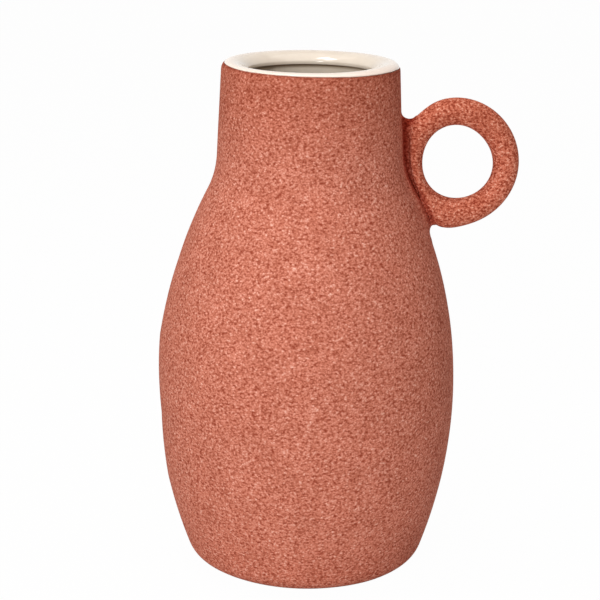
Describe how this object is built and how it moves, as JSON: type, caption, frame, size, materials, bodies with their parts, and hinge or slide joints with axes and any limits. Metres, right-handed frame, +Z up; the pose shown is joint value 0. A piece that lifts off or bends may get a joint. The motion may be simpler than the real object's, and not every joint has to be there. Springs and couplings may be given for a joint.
{
  "type": "pitcher vase",
  "caption": "Stoneware pitcher vase with a full belly, straight neck, rolled cream-glazed lip and a round finger-ring handle on the neck.",
  "frame": {"origin": "centre of the flat foot, on the vase's axis, where it stands on the table", "axes": "+Z up along the vase's axis, +X towards the ring handle, the handle lies in the XZ plane"},
  "size_m": [0.197, 0.164, 0.28],
  "materials": {
    "bare_stoneware": "fired buff stoneware, bare and matt, seen only on the foot",
    "luting_slip": "fired slip of the same clay, matt, hidden under the coat",
    "cream_gloss_glaze": "cream gloss liner glaze over the inside and the rolled lip",
    "sand_textured_coat": "terracotta coloured coat with sand grains, rough and matt, over the outside and the ring"
  },
  "bodies": {
    "root": {"stoneware_body": "bare_stoneware", "ring_handle": "bare_stoneware", "handle_slip_joint": "luting_slip", "liner_glaze": "cream_gloss_glaze", "sand_coat": "sand_textured_coat"}
  },
  "joints": []
}
